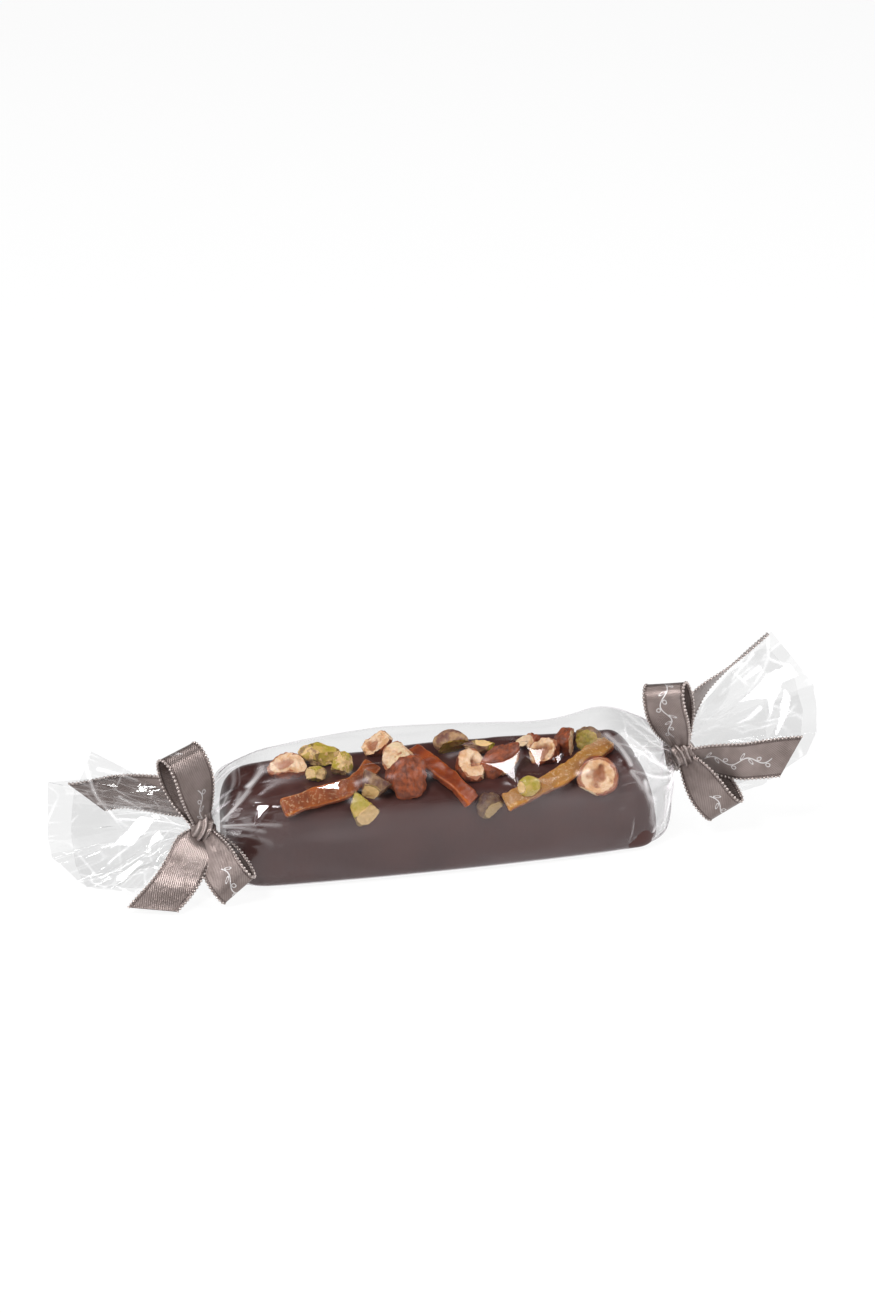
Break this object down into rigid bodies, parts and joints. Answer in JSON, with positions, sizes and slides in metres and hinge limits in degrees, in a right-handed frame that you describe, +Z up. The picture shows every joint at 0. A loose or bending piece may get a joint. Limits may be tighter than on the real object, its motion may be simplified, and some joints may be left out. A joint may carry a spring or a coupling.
{
  "type": "yule log cake",
  "caption": "Bar-shaped chocolate yule log cake topped with nuts and candied peel, in clear film gathered at both ends and tied with satin ribbon bows.",
  "frame": {"origin": "middle of the flat underside that the wrapped log rests on", "axes": "+X along the log towards the end whose film stands higher, -Y towards the front shown in the picture, +Z up"},
  "size_m": [0.2897, 0.0581, 0.0707],
  "materials": {
    "wrapped_chocolate": "dark chocolate coating seen through clear glossy film",
    "satin_ribbon": "taupe satin weave with corded edges",
    "clear_film": "thin clear glossy film with creases",
    "nut_flesh": "cut hazelnut, cream with brown skin",
    "pistachio": "yellow-green kernel with purple-brown skin",
    "candied_peel": "candied orange peel, sticky and sugared"
  },
  "bodies": {
    "root": {"wrapped_log": "wrapped_chocolate", "ribbon_bow_left": "satin_ribbon", "ribbon_bow_right": "satin_ribbon"}
  },
  "joints": []
}
